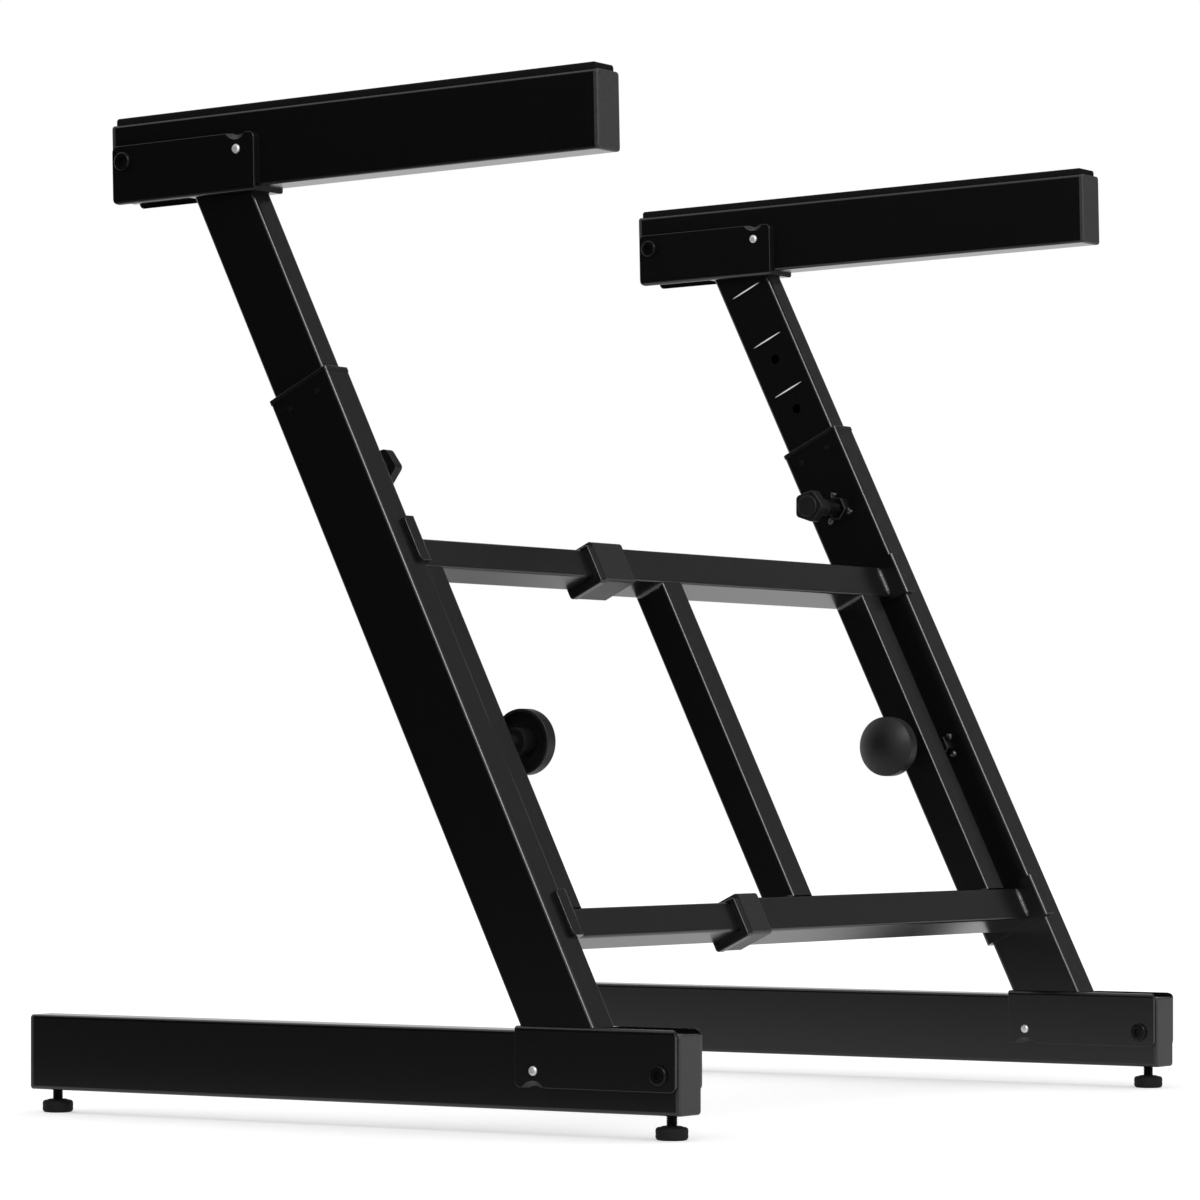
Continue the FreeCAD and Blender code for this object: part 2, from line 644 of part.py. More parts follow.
# Cross frame: the right half carries the larger crossbars, the left half slides inside them
for level, at in (("upper", upper_bar_at), ("lower", "lower_bar_at")):
    finish(square_tube("bar_big", "big_bar_start", web_face, at, "x"), f"right_{level}_crossbar", cross_frame)
    finish(square_tube("bar_small", f"0 - ({web_face})", "small_bar_end", at, "x"),
           f"left_{level}_crossbar", cross_frame)
sleeves = group(sleeve("upper_sleeve_long", upper_bar_at), sleeve("lower_sleeve_long", "lower_bar_at"))
finish(sleeves, "crossbar_sleeves", cross_frame)
finish(group(lip(upper_bar_at), lip("lower_bar_at")), "crossbar_lips", cross_frame)
between_big_bars = ("lower_bar_at + bar_big / 2", f"{upper_bar_at} - bar_big / 2")
finish(square_tube("bar_big", *between_big_bars, "middle_brace_at", "z"), "middle_brace", cross_frame)

# Outer braces with the frame knobs that clamp them to the uprights, and the hook brackets
for name, side in SIDES:
    wide = {"left": "bar_small", "right": "bar_big"}[name]
    brace_face = f"{web_face} - {name}_brace_gap - {wide}"
    brace_x = f"{side} * ({brace_face} + {wide} / 2)"
    brace = square_tube(wide, f"lower_bar_at + {wide} / 2", f"{upper_bar_at} - {wide} / 2", brace_x, "z")
    hole = rod("stud_hole_radius", f"{wide} + 2 * overrun", (brace_x, "0", clamp_at))
    finish(cut(brace, hole), f"{name}_brace", cross_frame)
    finish(dome_knob(side, brace_face, clamp_at, f"{name}_dome_gap"), f"{name}_frame_knob", cross_frame)
    finish(group(hook(side, upper_bar_at), hook(side, "lower_bar_at")), f"{name}_hook_brackets", cross_frame)

doc.recompute()
for item in doc.Objects:
    if "Invalid" in item.State or "Error" in item.State:
        raise RuntimeError(f"{item.Label} did not build: {item.State}")
for piece in pieces:
    if piece.Shape.isNull() or not piece.Shape.isValid():
        raise RuntimeError(f"{piece.Label} has no valid shape")
    piece.Shape.exportStep(f"parts/{piece.Label}.step")
    box = piece.Shape.BoundBox
    spans = [round(end, 1) for end in (box.XMin, box.XMax, box.YMin, box.YMax, box.ZMin, box.ZMax)]
    print(piece.Label, len(piece.Shape.Solids), round(piece.Shape.Volume, 1), spans)
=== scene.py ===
import math
import random

import bmesh
import bpy
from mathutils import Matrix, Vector


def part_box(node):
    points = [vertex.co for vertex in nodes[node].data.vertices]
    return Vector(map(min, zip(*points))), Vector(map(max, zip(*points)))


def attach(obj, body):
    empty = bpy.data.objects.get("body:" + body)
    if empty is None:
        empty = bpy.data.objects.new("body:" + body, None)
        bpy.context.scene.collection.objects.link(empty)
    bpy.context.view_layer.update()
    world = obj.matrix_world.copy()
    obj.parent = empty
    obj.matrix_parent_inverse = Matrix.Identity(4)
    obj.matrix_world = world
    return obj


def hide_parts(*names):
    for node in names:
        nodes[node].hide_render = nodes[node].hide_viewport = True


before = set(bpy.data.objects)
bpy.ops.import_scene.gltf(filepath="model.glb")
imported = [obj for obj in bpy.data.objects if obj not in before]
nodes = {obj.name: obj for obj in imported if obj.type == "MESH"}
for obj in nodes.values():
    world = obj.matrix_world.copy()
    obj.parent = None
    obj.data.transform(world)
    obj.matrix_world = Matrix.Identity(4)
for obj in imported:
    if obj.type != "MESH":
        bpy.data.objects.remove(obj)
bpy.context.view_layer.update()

ROUND = 2 * math.pi
QUARTER = math.pi / 2

# Main lines of the stand, in metres, as in the solids
HALF_SPACING = 0.3215
TUBE_WIDE = 0.025
TUBE_DEEP = 0.050
MAST_WIDE = 0.020
PLATE = 0.003
INNER_FACE = HALF_SPACING - TUBE_WIDE / 2
WEB_FACE = INNER_FACE - PLATE
LEAN = math.radians(26.16)
RISE = math.radians(1.28)
UPRIGHT_FOOT = Vector((0.0, -0.1661, 0.0685))
SLANT = Vector((0.0, math.sin(LEAN), math.cos(LEAN)))
BEHIND = Vector((0.0, math.cos(LEAN), -math.sin(LEAN)))
ACROSS = Vector((1.0, 0.0, 0.0))
UP = Vector((0.0, 0.0, 1.0))
SIDES = (("left", -1), ("right", 1))

# Places along the slant of the uprights
UPPER_BAR = 0.3305
LOWER_BAR = 0.0655
HEIGHT_KNOB = 0.3985
FRAME_KNOB = 0.1989
INDEX_PLACES = (0.5858, 0.5431, 0.5004)

# Cross frame: width of bars and braces, gap from hook to brace, gap from brace to knob
BAR_WIDE = {"left": 0.021, "right": 0.025}
BRACE_GAP = {"left": 0.0172, "right": 0.0157}
HUB_GAP = {"left": 0.0138, "right": 0.0190}
MIDDLE_BRACE = 0.0045

# The arm's own frame: its pivot, the way to its rear and its upper side
ARM_PIVOT = Vector((0.0, 0.17572, 0.63057))
ARM_REAR = Vector((0.0, math.cos(RISE), -math.sin(RISE)))
ARM_TOP = Vector((0.0, math.sin(RISE), math.cos(RISE)))
ARM_LENGTH = 0.3848
ARM_PIVOT_INSET = 0.0115

# The base's pivot and length, and the place of its feet
BASE_PIVOT = Vector((0.0, -0.2442, 0.0405))
BASE_LENGTH = 0.515
BASE_PIVOT_INSET = 0.0133
FOOT_INSET = 0.0137
FOOT_PLACES = (("front", FOOT_INSET - BASE_PIVOT_INSET),
               ("rear", BASE_LENGTH - BASE_PIVOT_INSET - FOOT_INSET))

# Section of a foot's rubber disc: radius and height, from the bore over the collar to the tread
FOOT_OUTLINE = [
    (0.0036, 0.0046), (0.0036, 0.0088), (0.0060, 0.0088), (0.0066, 0.0086), (0.0068, 0.0082),
    (0.0086, 0.0081), (0.0094, 0.0078), (0.0100, 0.0071), (0.0102, 0.0062), (0.0102, 0.0046),
    (0.0101, 0.0042), (0.0101, 0.0036), (0.0102, 0.0032), (0.0102, 0.0020), (0.0099, 0.0010),
    (0.0092, 0.0003), (0.0082, 0.0), (0.0074, 0.0), (0.0070, 0.0006), (0.0050, 0.0008),
    (0.0036, 0.0008),
]

# Threads: radius, pitch and depth of the groove
FOOT_SCREW = (0.0036, 0.00125, 0.0006)
HEIGHT_SCREW = (0.0050, 0.0015, 0.0008)
STUD_SCREW = (0.0053, 0.0015, 0.0006)
SCREW_STEPS = 44
TAPER_TURNS = 1.5

# Stem of a foot: height of its lower end and its length
STEM_START = 0.0049
STEM_LENGTH = 0.0216

# Stud of a frame knob: its lap in the hub, and where its thread stops short of the nut
STUD_LAP = 0.0001
STUD_STOP = 0.0052

# Section of a clamp nut: whether it is six-sided there, radius and height above the upright
NUT_CORNERS = 6
NUT_OUTLINE = [
    (True, 0.00924, 0.0), (True, 0.00924, 0.0042), (True, 0.00908, 0.0046), (True, 0.00872, 0.0050),
    (False, 0.0060, 0.0050), (False, 0.00505, 0.0042), (False, 0.00505, 0.0),
]

# Tack welds: place along the upright, shift to the rear and upward; radius, height and first seed
TACK_SPOTS = [
    (HEIGHT_KNOB, 0.0036, 0.0102), (HEIGHT_KNOB, -0.0100, -0.0020), (HEIGHT_KNOB, 0.0058, -0.0095),
    (FRAME_KNOB, -0.0078, 0.0078), (FRAME_KNOB, -0.0112, -0.0050), (FRAME_KNOB, 0.0098, -0.0046),
]
TACK_RADIUS = 0.0026
TACK_TALL = 0.0024
TACK_SEED = 100

# Weld beads: leg, first seed, and the share of a crossbar's or a brace's width that they run along
BEAD_LEG = 0.0022
BEAD_SEED = 200
BAR_BEAD_SHARE = 0.88
BRACE_BEAD_SHARE = 0.9

# Noise of the finishes: its detail, and the levels between which shades and roughness change
MOTTLE_DETAIL = 6.0
MOTTLE_LEVELS = (0.35, 0.65)
ROUGH_LEVELS = (0.3, 0.7)

# Levels of floor and room, as seen and as light
FLOOR_SIZE = 40
FLOOR_GREY = 0.82
FLOOR_ROUGHNESS = 0.9
FLOOR_GLOW = 0.4
ROOM_LIGHT = 0.9
ROOM_SEEN = 1.0
WHITE = (1, 1, 1, 1)

# Viewpoint: a long lens near the floor, its picture shifted upward
LENS = 149.95
SENSOR = 36.0
LENS_SHIFT = 0.1535
FAR_CLIP = 100.0
EYE = (-2.9232, -1.8978, 0.2196)
LEVEL_VIEW = math.radians(90)
HEADING = math.radians(-56.73)


# Point given by its place across, behind the upright's axis and along it
def slanted(across, behind, along):
    return ACROSS * across + UPRIGHT_FOOT + BEHIND * behind + SLANT * along


# New material with its node tree and its plain shader
def new_material(name):
    material = bpy.data.materials.new(name)
    material.use_nodes = True
    tree = material.node_tree
    return material, tree, tree.nodes["Principled BSDF"]


def add_node(tree, kind, **settings):
    node = tree.nodes.new(kind)
    for key, value in settings.items():
        if key in node.inputs:
            node.inputs[key].default_value = value
        else:
            setattr(node, key, value)
    return node


# Noise that is fixed to the piece
def noise_pattern(tree, scale, detail):
    coords = add_node(tree, "ShaderNodeTexCoord")
    noise = add_node(tree, "ShaderNodeTexNoise", Scale=scale, Detail=detail)
    tree.links.new(coords.outputs["Object"], noise.inputs["Vector"])
    return noise.outputs["Fac"]


# Mixes two shades by noise
def mottled(tree, noise, socket, dark, pale):
    ramp = add_node(tree, "ShaderNodeValToRGB")
    for element, level, shade in zip(ramp.color_ramp.elements, MOTTLE_LEVELS, (dark, pale)):
        element.position = level
        element.color = (*shade, 1)
    tree.links.new(noise, ramp.inputs["Fac"])
    tree.links.new(ramp.outputs["Color"], socket)


# Varies the roughness by noise
def uneven(tree, noise, socket, low, high):
    spread = add_node(tree, "ShaderNodeMapRange")
    spread.inputs["From Min"].default_value = ROUGH_LEVELS[0]
    spread.inputs["From Max"].default_value = ROUGH_LEVELS[1]
    spread.inputs["To Min"].default_value = low
    spread.inputs["To Max"].default_value = high
    tree.links.new(noise, spread.inputs["Value"])
    tree.links.new(spread.outputs["Result"], socket)


# Finish of a material: two close shades, uneven roughness and a fine grain in relief
def coat(name, dark, pale, mottle, rough, grain, relief, depth, detail=2.0, gloss=0.5, metal=0.0):
    material, tree, shader = new_material(name)
    noise = noise_pattern(tree, mottle, MOTTLE_DETAIL)
    mottled(tree, noise, shader.inputs["Base Color"], dark, pale)
    uneven(tree, noise, shader.inputs["Roughness"], *rough)
    shader.inputs["Specular IOR Level"].default_value = gloss
    shader.inputs["Metallic"].default_value = metal
    bump = add_node(tree, "ShaderNodeBump", Strength=relief, Distance=depth)
    tree.links.new(noise_pattern(tree, grain, detail), bump.inputs["Height"])
    tree.links.new(bump.outputs["Normal"], shader.inputs["Normal"])
    return material


# Satin powder coat of the steel tubes and plates
POWDER_COAT = coat(
    "powder_coat", dark=(0.0026, 0.0026, 0.0027), pale=(0.0032, 0.0032, 0.0033), mottle=700.0,
    rough=(0.24, 0.27), grain=1400.0, relief=0.006, depth=0.0002)

# Duller coat of the sleeves
SLEEVE_COAT = coat(
    "sleeve_coat", dark=(0.0110, 0.0110, 0.0112), pale=(0.0130, 0.0130, 0.0132), mottle=700.0,
    rough=(0.44, 0.50), grain=1400.0, relief=0.02, depth=0.0002)

# Coated weld metal, rougher and shinier than the flat plates
WELD_COAT = coat(
    "weld_coat", dark=(0.004, 0.004, 0.0042), pale=(0.011, 0.011, 0.0113), mottle=700.0,
    rough=(0.16, 0.30), grain=1600.0, relief=0.35, depth=0.0003, detail=4.0, gloss=0.7)

# Grained moulded plastic of the end caps
GRAINED_PLASTIC = coat(
    "grained_plastic", dark=(0.022, 0.022, 0.0222), pale=(0.036, 0.036, 0.0362), mottle=900.0,
    rough=(0.42, 0.62), grain=1500.0, relief=0.45, depth=0.0004, detail=4.0, gloss=0.4)

# Smooth moulded plastic of the bushes and of the lips in the crossbars
SMOOTH_PLASTIC = coat(
    "smooth_plastic", dark=(0.0032, 0.0032, 0.0033), pale=(0.0042, 0.0042, 0.0043), mottle=600.0,
    rough=(0.30, 0.36), grain=1500.0, relief=0.01, depth=0.0002)

# Satin moulded plastic of the knobs
KNOB_PLASTIC = coat(
    "knob_plastic", dark=(0.0034, 0.0034, 0.0035), pale=(0.0050, 0.0050, 0.0051), mottle=240.0,
    rough=(0.46, 0.52), grain=1800.0, relief=0.06, depth=0.0002, detail=3.0, gloss=0.28)

# Matte rubber of the feet and, darker, of the strips on the arms
FOOT_RUBBER = coat(
    "foot_rubber", dark=(0.005, 0.005, 0.005), pale=(0.008, 0.008, 0.008), mottle=350.0,
    rough=(0.66, 0.82), grain=2200.0, relief=0.3, depth=0.0003, detail=3.0, gloss=0.2)
STRIP_RUBBER = coat(
    "strip_rubber", dark=(0.0030, 0.0030, 0.0030), pale=(0.0044, 0.0044, 0.0044), mottle=350.0,
    rough=(0.66, 0.82), grain=2200.0, relief=0.3, depth=0.0003, detail=3.0, gloss=0.1)

# Blackened steel of bolts and stems
BLACKENED_STEEL = coat(
    "blackened_steel", dark=(0.0024, 0.0024, 0.0025), pale=(0.0036, 0.0036, 0.0037), mottle=420.0,
    rough=(0.22, 0.32), grain=1500.0, relief=0.05, depth=0.0002, gloss=0.16)

# Dull black of the knobs' threads, darker than the bolts' steel: the extra darkness is painted shade, for
# the shadow the threads sit in between knob and nut
THREAD_PAINTED_SHADE = coat(
    "thread_painted_shade", dark=(0.0016, 0.0016, 0.0017), pale=(0.0026, 0.0026, 0.0027), mottle=500.0,
    rough=(0.40, 0.55), grain=1500.0, relief=0.08, depth=0.0002, gloss=0.05)

# Bright steel of the snap buttons
BRIGHT_STEEL = coat(
    "bright_steel", dark=(0.62, 0.62, 0.63), pale=(0.74, 0.74, 0.75), mottle=500.0,
    rough=(0.34, 0.46), grain=2600.0, relief=0.08, depth=0.0001, metal=0.6)

# White paint of the height index lines
WHITE_PAINT = coat(
    "white_paint", dark=(0.70, 0.70, 0.69), pale=(0.82, 0.82, 0.81), mottle=800.0,
    rough=(0.45, 0.6), grain=2400.0, relief=0.1, depth=0.0001)

FINISHES = {
    "black_steel": POWDER_COAT,
    "cap_plastic": GRAINED_PLASTIC,
    "black_rubber": FOOT_RUBBER,
    "knob_plastic": KNOB_PLASTIC,
    "dark_fastener": BLACKENED_STEEL,
    "bright_steel": BRIGHT_STEEL,
}


# Joins rings of points into a skin; a loop of rings closes on itself, otherwise both ends are capped
def skin(shape, rings, looped=False):
    loops = [[shape.verts.new(point) for point in ring] for ring in rings]
    pairs = list(zip(loops, loops[1:]))
    if looped:
        pairs.append((loops[-1], loops[0]))
    for first, second in pairs:
        for index in range(len(first)):
            after = (index + 1) % len(first)
            shape.faces.new((first[index], first[after], second[after], second[index]))
    if not looped:
        shape.faces.new(list(reversed(loops[0])))
        shape.faces.new(loops[-1])


# Turns a finished shape into a piece that moves with a body; edges above the smooth angle stay sharp
def piece(name, shape, body, material, smooth=40):
    bmesh.ops.recalc_face_normals(shape, faces=shape.faces)
    mesh = bpy.data.meshes.new(name)
    shape.to_mesh(mesh)
    shape.free()
    for polygon in mesh.polygons:
        polygon.use_smooth = True
    mesh.set_sharp_from_angle(angle=math.radians(smooth))
    item = bpy.data.objects.new(name, mesh)
    bpy.context.collection.objects.link(item)
    mesh.materials.append(material)
    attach(item, body)
    return item


# Two directions that stand square to an axis and to each other
def square_to(axis):
    first = axis.orthogonal().normalized()
    return first, axis.cross(first).normalized()


# Direction at an angle from the first of two square directions to the second
def ray(first, second, angle):
    return first * math.cos(angle) + second * math.sin(angle)


# Turned body: a closed outline of radius and height, carried round an axis
def turned(shape, place, axis, outline, steps=64):
    first, second = square_to(axis)
    rings = []
    for step in range(steps):
        outward = ray(first, second, ROUND * step / steps)
        rings.append([place + outward * radius + axis * height for radius, height in outline])
    skin(shape, rings, looped=True)


# Threaded rod from a point along an axis, with tapered ends
def threaded(shape, start, axis, length, radius, pitch, depth, steps=36, per_turn=8):
    first, second = square_to(axis)
    rings = []
    count = int(math.ceil(length / pitch * per_turn))
    for row in range(count + 1):
        along = length * row / count
        taper = min(along, length - along) / (TAPER_TURNS * pitch)
        ring = []
        for step in range(steps):
            phase = (along / pitch - step / steps) % 1.0
            groove = depth * abs(2 * phase - 1)
            reach = radius - max(groove, depth * (1 - min(taper, 1.0)))
            outward = ray(first, second, ROUND * step / steps)
            ring.append(start + axis * along + outward * reach)
        rings.append(ring)
    skin(shape, rings)


# Fillet weld along the corner between two faces, with the ripples of the moving arc
def bead(shape, start, end, one_face, other_face, seed):
    ripple = 0.0017
    per_ripple = 6
    swell_spread = 0.10
    trough = 0.93
    crest = 0.13
    end_share = 0.35
    end_slope = 5
    arc_steps = 8
    flattening = 0.16
    sunk = 0.0004
    draw = random.Random(seed)
    run = end - start
    count = max(2, int(run.length / ripple))
    swells = [1 + draw.uniform(-swell_spread, swell_spread) for number in range(count + 1)]
    rows = count * per_ripple
    root = (one_face + other_face) * -sunk
    rings = []
    for row in range(rows + 1):
        share = row / rows
        phase = (row % per_ripple) / per_ripple
        swell = swells[row // per_ripple] * (trough + crest * math.sin(math.pi * phase))
        closing = min(1.0, end_share + end_slope * min(share, 1 - share))
        reach = BEAD_LEG * swell * closing
        place = start + run * share
        ring = [place + root]
        for step in range(arc_steps + 1):
            turn = QUARTER * step / arc_steps
            bulge = reach * (1 - flattening * math.sin(2 * turn))
            ring.append(place + ray(one_face, other_face, turn) * bulge)
        rings.append(ring)
    skin(shape, rings)


# Tack weld: a small uneven mound on a face
def mound(shape, place, normal, seed):
    wave_count = 3
    wave_low = 0.03
    wave_high = 0.12
    rows = 8
    steps = 24
    tip_share = 0.03
    sunk = 0.0003
    draw = random.Random(seed)
    first, second = square_to(normal)
    waves = [(draw.uniform(wave_low, wave_high), draw.uniform(0, ROUND)) for wave in range(wave_count)]
    rings = []
    for row in range(rows + 1):
        lift = QUARTER * row / rows
        ring = []
        for step in range(steps):
            angle = ROUND * step / steps
            wavy = 1 + sum(size * math.sin((number + 2) * angle + start)
                           for number, (size, start) in enumerate(waves))
            reach = TACK_RADIUS * max(math.cos(lift), tip_share) * wavy
            height = TACK_TALL * math.sin(lift) - sunk
            ring.append(place + ray(first, second, angle) * reach + normal * height)
        rings.append(ring)
    skin(shape, rings)


# Rubber strip on top of an arm: a profile with rounded shoulders and shallow lengthwise ribs
def arm_strip(name, side):
    half_wide = 0.02150 / 2
    thick = 0.00459
    inset = 0.003
    sunk = 0.0001
    corner = 0.0014
    corner_steps = 6
    rib_pitch = 0.0024
    rib_deep = 0.00035
    rib_fade = 0.0012
    rib_rows = 64
    lengths = 40
    narrowing = 0.12
    shoulder = [(-half_wide, -sunk), (-half_wide, thick - corner)]
    for step in range(1, corner_steps + 1):
        turn = QUARTER * step / corner_steps
        across = -half_wide + corner * (1 - math.cos(turn))
        shoulder.append((across, thick - corner + corner * math.sin(turn)))
    flat = half_wide - corner
    ribs = []
    for row in range(1, rib_rows):
        across = -flat + 2 * flat * row / rib_rows
        near_edge = min(1.0, (flat - abs(across)) / rib_fade)
        wave = 0.5 - 0.5 * math.cos(ROUND * across / rib_pitch)
        ribs.append((across, thick - rib_deep * wave * near_edge))
    outline = shoulder + ribs + [(-across, height) for across, height in reversed(shoulder)]

    # The ends round off: distance from the end and share of the full height there
    rounding = [(0.0, 0.80), (0.0002, 0.88), (0.0006, 0.95), (0.0012, 1.0)]
    full = rounding[-1][0]
    front = -(ARM_LENGTH - ARM_PIVOT_INSET) + inset
    rear = ARM_PIVOT_INSET - inset
    stations = [(front + run, share) for run, share in rounding]
    for step in range(1, lengths):
        stations.append((front + full + (rear - front - 2 * full) * step / lengths, 1.0))
    stations += [(rear - run, share) for run, share in reversed(rounding)]

    base = ACROSS * (side * HALF_SPACING) + ARM_PIVOT + ARM_TOP * (TUBE_DEEP / 2)
    rings = []
    for along, share in stations:
        narrow = 1 - (1 - share) * narrowing
        ring = []
        for across, height in outline:
            lift = height * share if height > 0 else height
            ring.append(base + ACROSS * (across * narrow) + ARM_TOP * lift + ARM_REAR * along)
        rings.append(ring)
    shape = bmesh.new()
    skin(shape, rings)
    strip = piece(f"{name}_arm_rubber_strip", shape, f"{name}_arm", STRIP_RUBBER, smooth=50)
    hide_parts(f"{name}_arm_pad")


# Rubber disc of a levelling foot, with a collar round the stem and a hollow in its tread
def foot_rubber(name, end, side, along):
    middle = Vector((side * HALF_SPACING, BASE_PIVOT.y + along, 0.0))
    shape = bmesh.new()
    turned(shape, middle, UP, FOOT_OUTLINE)
    disc = piece(f"{name}_{end}_foot_rubber", shape, f"{name}_{end}_levelling_foot",
                 FOOT_RUBBER)
    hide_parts(f"{name}_{end}_foot")


# Threaded stem of a levelling foot
def foot_thread(name, end, side, along):
    start = Vector((side * HALF_SPACING, BASE_PIVOT.y + along, STEM_START))
    shape = bmesh.new()
    threaded(shape, start, UP, STEM_LENGTH, *FOOT_SCREW)
    stem = piece(f"{name}_{end}_foot_thread", shape, f"{name}_{end}_levelling_foot",
                 BLACKENED_STEEL, smooth=60)
    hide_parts(f"{name}_{end}_foot_stem")


# Thread of the height knob's screw, which stands in for the plain one
def height_thread(name):
    low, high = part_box(f"{name}_height_screw")
    shape = bmesh.new()
    start = slanted(low.x, 0, HEIGHT_KNOB)
    threaded(shape, start, ACROSS, high.x - low.x, *HEIGHT_SCREW, steps=SCREW_STEPS)
    # The thread's black is painted shade, for the shadow under the knob's neck
    screw = piece(f"{name}_height_screw_thread", shape, f"{name}_height_clamp",
                  THREAD_PAINTED_SHADE, smooth=60)
    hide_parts(f"{name}_height_screw")


# White index lines across the inner face of a telescoping tube: thin slashes that run out to a point
def index_lines(name, side):
    long = 0.026
    half_wide = 0.00055
    point_power = 0.6
    sunk = 0.0001
    thick = 0.00016
    steps = 24
    shape = bmesh.new()
    face = side * (HALF_SPACING - MAST_WIDE / 2)
    inward = ACROSS * -side
    edge = []
    for step in range(steps + 1):
        share = step / steps
        edge.append((-long / 2 + long * share, half_wide * math.sin(math.pi * share) ** point_power))
    loop = edge + [(behind, -height) for behind, height in reversed(edge[1:-1])]
    for along in INDEX_PLACES:
        foot = [slanted(face, behind, along + height) - inward * sunk for behind, height in loop]
        top = [point + inward * thick for point in foot]
        skin(shape, [foot, top])
    piece(f"{name}_index_lines", shape, f"{name}_mast", WHITE_PAINT)


# Clamp nuts with rounded edges and a countersunk bore, which stand in for the plain ones
def hex_nuts(name, side):
    steps = 48
    half_side = math.pi / NUT_CORNERS
    shape = bmesh.new()
    inward = ACROSS * -side
    for along in (HEIGHT_KNOB, FRAME_KNOB):
        foot = slanted(side * INNER_FACE, 0, along)
        rings = []
        for six_sided, radius, lift in NUT_OUTLINE:
            ring = []
            for step in range(steps):
                angle = ROUND * step / steps
                reach = radius
                if six_sided:
                    reach *= math.cos(half_side) / math.cos(angle % (2 * half_side) - half_side)
                ring.append(foot + inward * lift + ray(SLANT, BEHIND, angle) * reach)
            rings.append(ring)
        skin(shape, rings, looped=True)
    nuts = piece(f"{name}_hex_nuts", shape, f"{name}_frame", POWDER_COAT, smooth=45)
    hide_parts(f"{name}_clamp_nuts")


# Tack welds that hold the clamp nuts to the upright
def tack_welds(name, side):
    shape = bmesh.new()
    for number, (along, rearward, upward) in enumerate(TACK_SPOTS):
        place = slanted(side * INNER_FACE, 0, along) + Vector((0, rearward, upward))
        mound(shape, place, ACROSS * -side, TACK_SEED + number)
    piece(f"{name}_nut_tack_welds", shape, f"{name}_frame", WELD_COAT, smooth=70)


# Fillet welds of the cross frame: crossbars on the hook webs, braces between the crossbars
def cross_frame_welds(name, side):
    half = BAR_WIDE[name] / 2
    shape = bmesh.new()
    seed = BEAD_SEED
    for bar in (UPPER_BAR, LOWER_BAR):
        for way in (-1, 1):
            seed += 1
            start = slanted(side * WEB_FACE, way * half, bar - half * BAR_BEAD_SHARE)
            end = slanted(side * WEB_FACE, way * half, bar + half * BAR_BEAD_SHARE)
            bead(shape, start, end, ACROSS * -side, BEHIND * way, seed)
    centres = [side * (WEB_FACE - BRACE_GAP[name] - half)]
    if name == "right":
        centres.append(MIDDLE_BRACE)
    for centre in centres:
        for face in (-1, 1):
            for bar, way in ((UPPER_BAR, -1), (LOWER_BAR, 1)):
                seed += 1
                edge = bar + way * half
                start = slanted(centre + face * half, -half * BRACE_BEAD_SHARE, edge)
                end = slanted(centre + face * half, half * BRACE_BEAD_SHARE, edge)
                bead(shape, start, end, ACROSS * face, SLANT * way, seed)
    piece(f"{name}_cross_frame_welds", shape, f"{name}_frame", WELD_COAT, smooth=70)


# Thread on the part of a frame knob's stud that shows between knob, brace and nut
def stud_thread(name, side):
    shape = bmesh.new()
    brace_face = WEB_FACE - BRACE_GAP[name] - BAR_WIDE[name]
    hub_end = brace_face - HUB_GAP[name]
    start = slanted(side * (hub_end + STUD_LAP), 0, FRAME_KNOB)
    length = INNER_FACE - STUD_STOP - hub_end
    threaded(shape, start, ACROSS * side, length, *STUD_SCREW, steps=SCREW_STEPS)
    # The stud's black is painted shade, for the shadow between knob, brace and nut
    piece(f"{name}_frame_stud_thread", shape, f"{name}_frame_clamp",
          THREAD_PAINTED_SHADE, smooth=60)


# Finishes of the solids that stay
for name, node in nodes.items():
    finish = FINISHES[node.data.materials[0].name]
    if name.endswith(("_bush", "_lips")):
        finish = SMOOTH_PLASTIC
    if name.endswith("_sleeves"):
        finish = SLEEVE_COAT
    node.data.materials.clear()
    node.data.materials.append(finish)

for name, side in SIDES:
    arm_strip(name, side)
    for end, along in FOOT_PLACES:
        foot_rubber(name, end, side, along)
        foot_thread(name, end, side, along)
    height_thread(name)
    index_lines(name, side)
    hex_nuts(name, side)
    tack_welds(name, side)
    cross_frame_welds(name, side)
    stud_thread(name, side)


# One for the rays that show a surface to the viewer, straight or mirrored; zero for all other light
def seen_directly(tree):
    path = add_node(tree, "ShaderNodeLightPath")
    seen = path.outputs["Is Camera Ray"]
    for kind in ("Is Glossy Ray", "Is Transmission Ray"):
        either = add_node(tree, "ShaderNodeMath", operation="MAXIMUM")
        tree.links.new(seen, either.inputs[0])
        tree.links.new(path.outputs[kind], either.inputs[1])
        seen = either.outputs["Value"]
    return seen


# Even grey without gloss
def set_matte(shader, grey, roughness):
    shader.inputs["Base Color"].default_value = (grey, grey, grey, 1)
    shader.inputs["Roughness"].default_value = roughness
    shader.inputs["Specular IOR Level"].default_value = 0.0


# Pale floor that reads as white and keeps a faint shadow
def floor():
    bpy.ops.mesh.primitive_plane_add(size=FLOOR_SIZE)
    plane = bpy.context.object
    plane.name = "floor"
    material, tree, shader = new_material("floor")
    set_matte(shader, FLOOR_GREY, FLOOR_ROUGHNESS)
    glow = add_node(tree, "ShaderNodeEmission", Color=WHITE)
    lift = add_node(tree, "ShaderNodeMath", operation="MULTIPLY")
    lift.inputs[1].default_value = FLOOR_GLOW
    tree.links.new(seen_directly(tree), lift.inputs[0])
    tree.links.new(lift.outputs["Value"], glow.inputs["Strength"])
    both = add_node(tree, "ShaderNodeAddShader")
    tree.links.new(shader.outputs["BSDF"], both.inputs[0])
    tree.links.new(glow.outputs["Emission"], both.inputs[1])
    tree.links.new(both.outputs["Shader"], tree.nodes["Material Output"].inputs["Surface"])
    plane.data.materials.append(material)


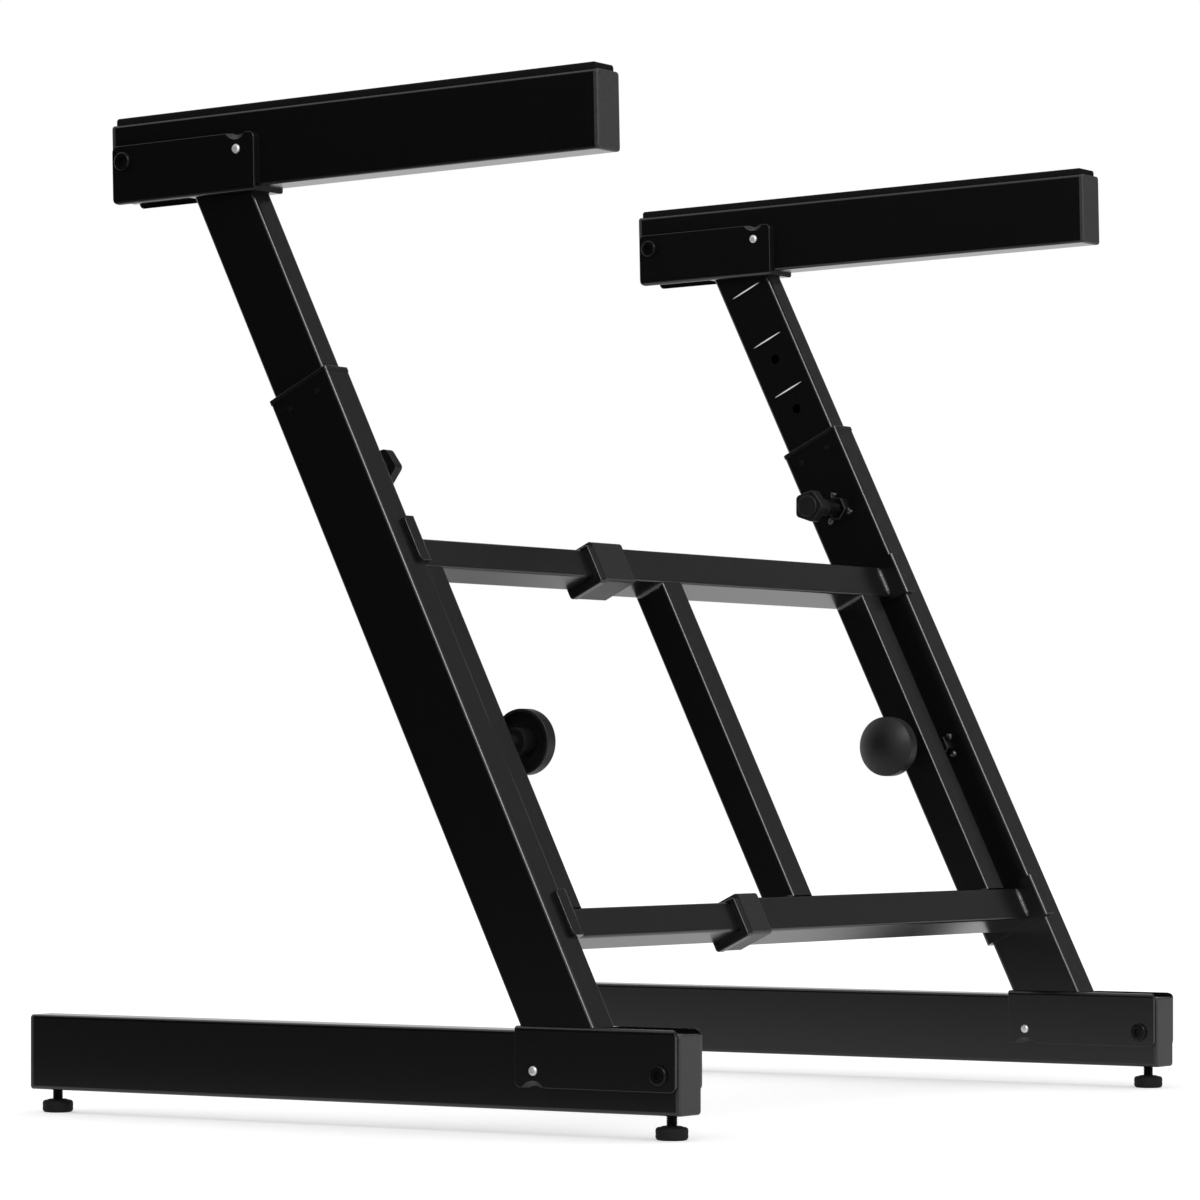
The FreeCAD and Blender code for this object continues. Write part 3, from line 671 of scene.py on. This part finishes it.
# Even white room all round
def surroundings():
    world = bpy.data.worlds.new("studio")
    bpy.context.scene.world = world
    world.use_nodes = True
    tree = world.node_tree
    background = tree.nodes["Background"]
    level = add_node(tree, "ShaderNodeMapRange")
    level.inputs["To Min"].default_value = ROOM_LIGHT
    level.inputs["To Max"].default_value = ROOM_SEEN
    tree.links.new(seen_directly(tree), level.inputs["Value"])
    tree.links.new(level.outputs["Result"], background.inputs["Strength"])
    background.inputs["Color"].default_value = WHITE


# Card that only reflections see, so that the faces turned to it mirror a calm, darker side of the room
def card(name, place, towards, wide, tall, grey):
    bpy.ops.mesh.primitive_plane_add(size=1)
    board = bpy.context.object
    board.name = name
    board.scale = (wide, tall, 1)
    board.location = place
    board.rotation_euler = Vector(towards).to_track_quat("Z", "Y").to_euler()
    material, tree, shader = new_material(name)
    set_matte(shader, grey, roughness=1.0)
    board.data.materials.append(material)
    board.visible_camera = False
    board.visible_diffuse = False
    board.visible_shadow = False
    board.visible_transmission = False


# Light box that only shows in reflections
def lamp(name, place, target, wide, tall, power):
    light = bpy.data.lights.new(name, "AREA")
    light.shape = "RECTANGLE"
    light.size = wide
    light.size_y = tall
    light.energy = power
    holder = bpy.data.objects.new(name, light)
    bpy.context.collection.objects.link(holder)
    holder.location = place
    holder.rotation_euler = (Vector(target) - Vector(place)).to_track_quat("-Z", "Y").to_euler()
    holder.visible_diffuse = False


def camera():
    lens = bpy.data.cameras.new("camera")
    lens.lens = LENS
    lens.sensor_width = SENSOR
    lens.shift_y = LENS_SHIFT
    lens.clip_end = FAR_CLIP
    holder = bpy.data.objects.new("camera", lens)
    bpy.context.collection.objects.link(holder)
    holder.location = EYE
    holder.rotation_euler = (LEVEL_VIEW, 0, HEADING)
    bpy.context.scene.camera = holder


floor()
surroundings()
card("dark_card", place=(-1.18, 0.76, 0.72), towards=(0.84, -0.54, 0), wide=2.2, tall=1.4, grey=0.01)
card("grey_card", place=(2.17, -0.87, 1.48), towards=(-0.836, 0.334, -0.434), wide=3.0, tall=3.0, grey=0.3)
card("floor_card", place=(-1.30, 0.84, 0.0008), towards=(0, 0, 1), wide=1.8, tall=2.2, grey=0.18)
lamp("front_box", place=(-1.9, -2.45, 2.6), target=(0, 0, 0.4), wide=0.8, tall=1.8, power=90)
camera()
bpy.context.scene.view_settings.view_transform = "Standard"
